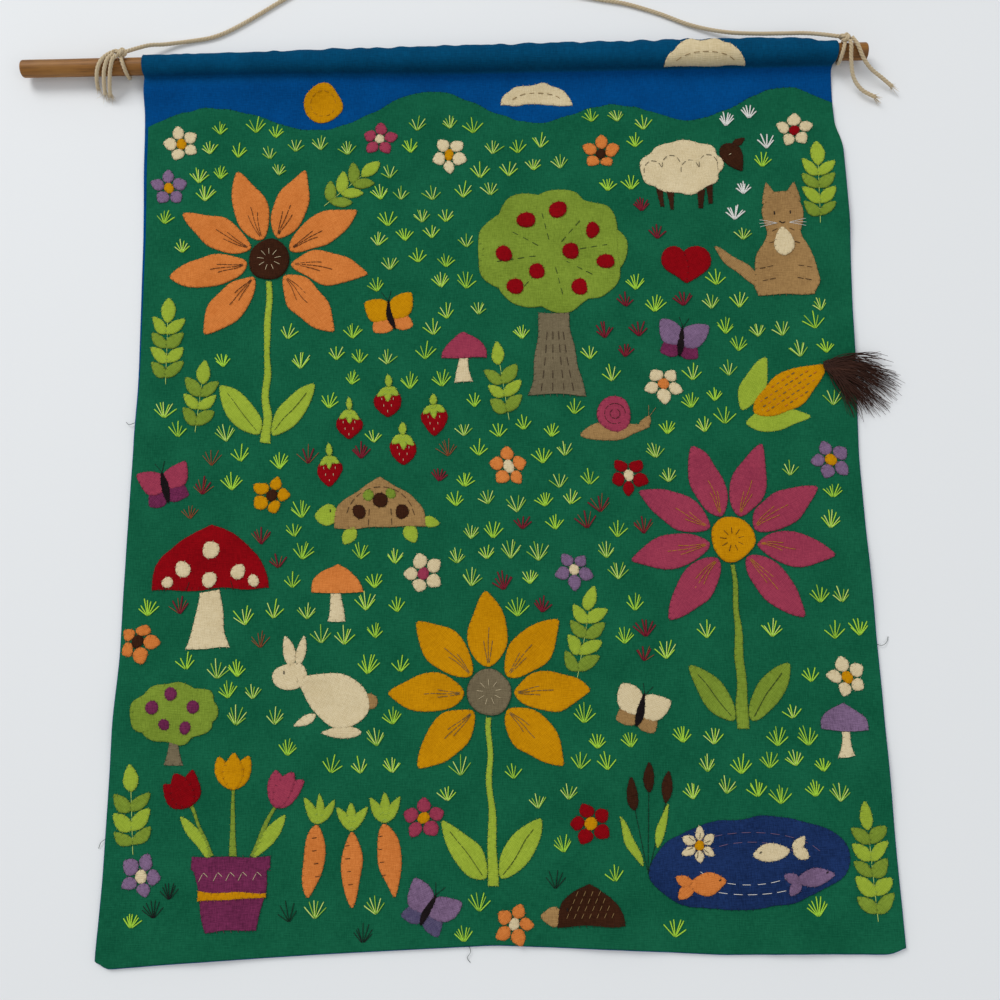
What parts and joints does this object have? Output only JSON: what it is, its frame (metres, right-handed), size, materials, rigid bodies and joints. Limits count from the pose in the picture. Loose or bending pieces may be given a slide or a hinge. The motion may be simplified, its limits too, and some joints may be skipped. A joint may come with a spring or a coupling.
{
  "type": "applique wall hanging with dowel",
  "caption": "Appliqué wall hanging of pieced, hand-stitched cotton on a wooden dowel, with a knotted hanging cord.",
  "frame": {"origin": "on the surface it lies on, under the middle of the hanging's box without its hanging cord", "axes": "+X along the dowel, towards the sewn picture's right; +Y up the cloth, towards the dowel; +Z out of the cloth's face"},
  "size_m": [0.4772, 0.5313, 0.0163],
  "materials": {
    "dowel_wood": "natural wood, lightly sanded and oiled, satin",
    "cotton_cord": "twisted natural cotton, undyed",
    "blue_cotton": "plain-woven cotton, matt",
    "green_cotton": "plain-woven cotton, matt",
    "cream_cotton": "plain-woven cotton, matt",
    "mustard_cotton": "plain-woven cotton, matt",
    "orange_cotton": "plain-woven cotton, matt",
    "magenta_cotton": "plain-woven cotton, matt",
    "taupe_cotton": "plain-woven cotton, matt",
    "brown_cotton": "plain-woven cotton, matt",
    "tan_cotton": "plain-woven cotton, matt",
    "red_cotton": "plain-woven cotton, matt",
    "lime_cotton": "plain-woven cotton, matt",
    "olive_cotton": "plain-woven cotton, matt",
    "plum_cotton": "plain-woven cotton, matt",
    "navy_cotton": "plain-woven cotton, matt",
    "yarn": "loose, fluffy dark brown yarn, matt"
  },
  "bodies": {
    "root": {"cat": "tan_cotton", "cloud_high": "cream_cotton", "cloud_low": "cream_cotton", "corn_cob": "mustard_cotton", "corn_silk": "yarn", "dowel": "dowel_wood", "field_cloth": "green_cotton", "ground_cloth": "blue_cotton", "hanging_cord": "cotton_cord", "knot_left": "cotton_cord", "knot_right": "cotton_cord", "magenta_daisy_heart": "mustard_cotton", "magenta_daisy_leaf_left": "olive_cotton", "magenta_daisy_leaf_right": "olive_cotton", "magenta_daisy_petal_1": "magenta_cotton", "magenta_daisy_petal_2": "magenta_cotton", "magenta_daisy_petal_3": "magenta_cotton", "magenta_daisy_petal_4": "magenta_cotton", "magenta_daisy_petal_5": "magenta_cotton", "magenta_daisy_petal_6": "magenta_cotton", "magenta_daisy_petal_7": "magenta_cotton", "magenta_daisy_petal_8": "magenta_cotton", "magenta_daisy_stem": "olive_cotton", "mushroom_cap": "red_cotton", "mushroom_stem": "cream_cotton", "mustard_daisy_heart": "taupe_cotton", "mustard_daisy_leaf_left": "lime_cotton", "mustard_daisy_leaf_right": "lime_cotton", "mustard_daisy_petal_1": "mustard_cotton", "mustard_daisy_petal_2": "mustard_cotton", "mustard_daisy_petal_3": "mustard_cotton", "mustard_daisy_petal_4": "mustard_cotton", "mustard_daisy_petal_5": "mustard_cotton", "mustard_daisy_petal_6": "mustard_cotton", "mustard_daisy_petal_7": "mustard_cotton", "mustard_daisy_stem": "lime_cotton", "orange_daisy_heart": "brown_cotton", "orange_daisy_leaf_left": "lime_cotton", "orange_daisy_leaf_right": "lime_cotton", "orange_daisy_petal_1": "orange_cotton", "orange_daisy_petal_2": "orange_cotton", "orange_daisy_petal_3": "orange_cotton", "orange_daisy_petal_4": "orange_cotton", "orange_daisy_petal_5": "orange_cotton", "orange_daisy_petal_6": "orange_cotton", "orange_daisy_petal_7": "orange_cotton", "orange_daisy_petal_8": "orange_cotton", "orange_daisy_stem": "lime_cotton", "pond": "navy_cotton", "pot": "plum_cotton", "sheep": "cream_cotton", "sun": "mustard_cotton", "tail_left_1": "cotton_cord", "tail_left_2": "cotton_cord", "tail_left_3": "cotton_cord", "tail_right_1": "cotton_cord", "tail_right_2": "cotton_cord", "tortoise": "tan_cotton", "tree_crown": "olive_cotton", "tree_trunk": "taupe_cotton"}
  },
  "joints": []
}
